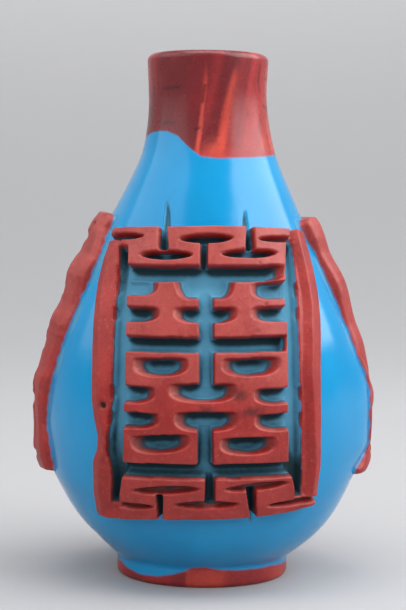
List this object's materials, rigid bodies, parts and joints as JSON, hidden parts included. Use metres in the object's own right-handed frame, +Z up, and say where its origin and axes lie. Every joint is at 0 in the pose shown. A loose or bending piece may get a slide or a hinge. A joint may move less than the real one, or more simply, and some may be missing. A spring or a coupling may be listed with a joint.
{
  "type": "snuff bottle",
  "caption": "Pear-shaped snuff bottle of overlay glass with fret-carved relief panels on its four sides, a straight neck, an open mouth and an oval foot.",
  "frame": {"origin": "centre of the foot, on the surface the bottle stands on", "axes": "+Z up through the mouth, front panel facing -Y, side panels facing +X and -X"},
  "size_m": [0.0462, 0.0412, 0.07],
  "materials": {
    "overlay_glass_bottle": "polished opaque glass"
  },
  "bodies": {
    "root": {"overlay_glass_bottle": "overlay_glass_bottle"}
  },
  "joints": []
}
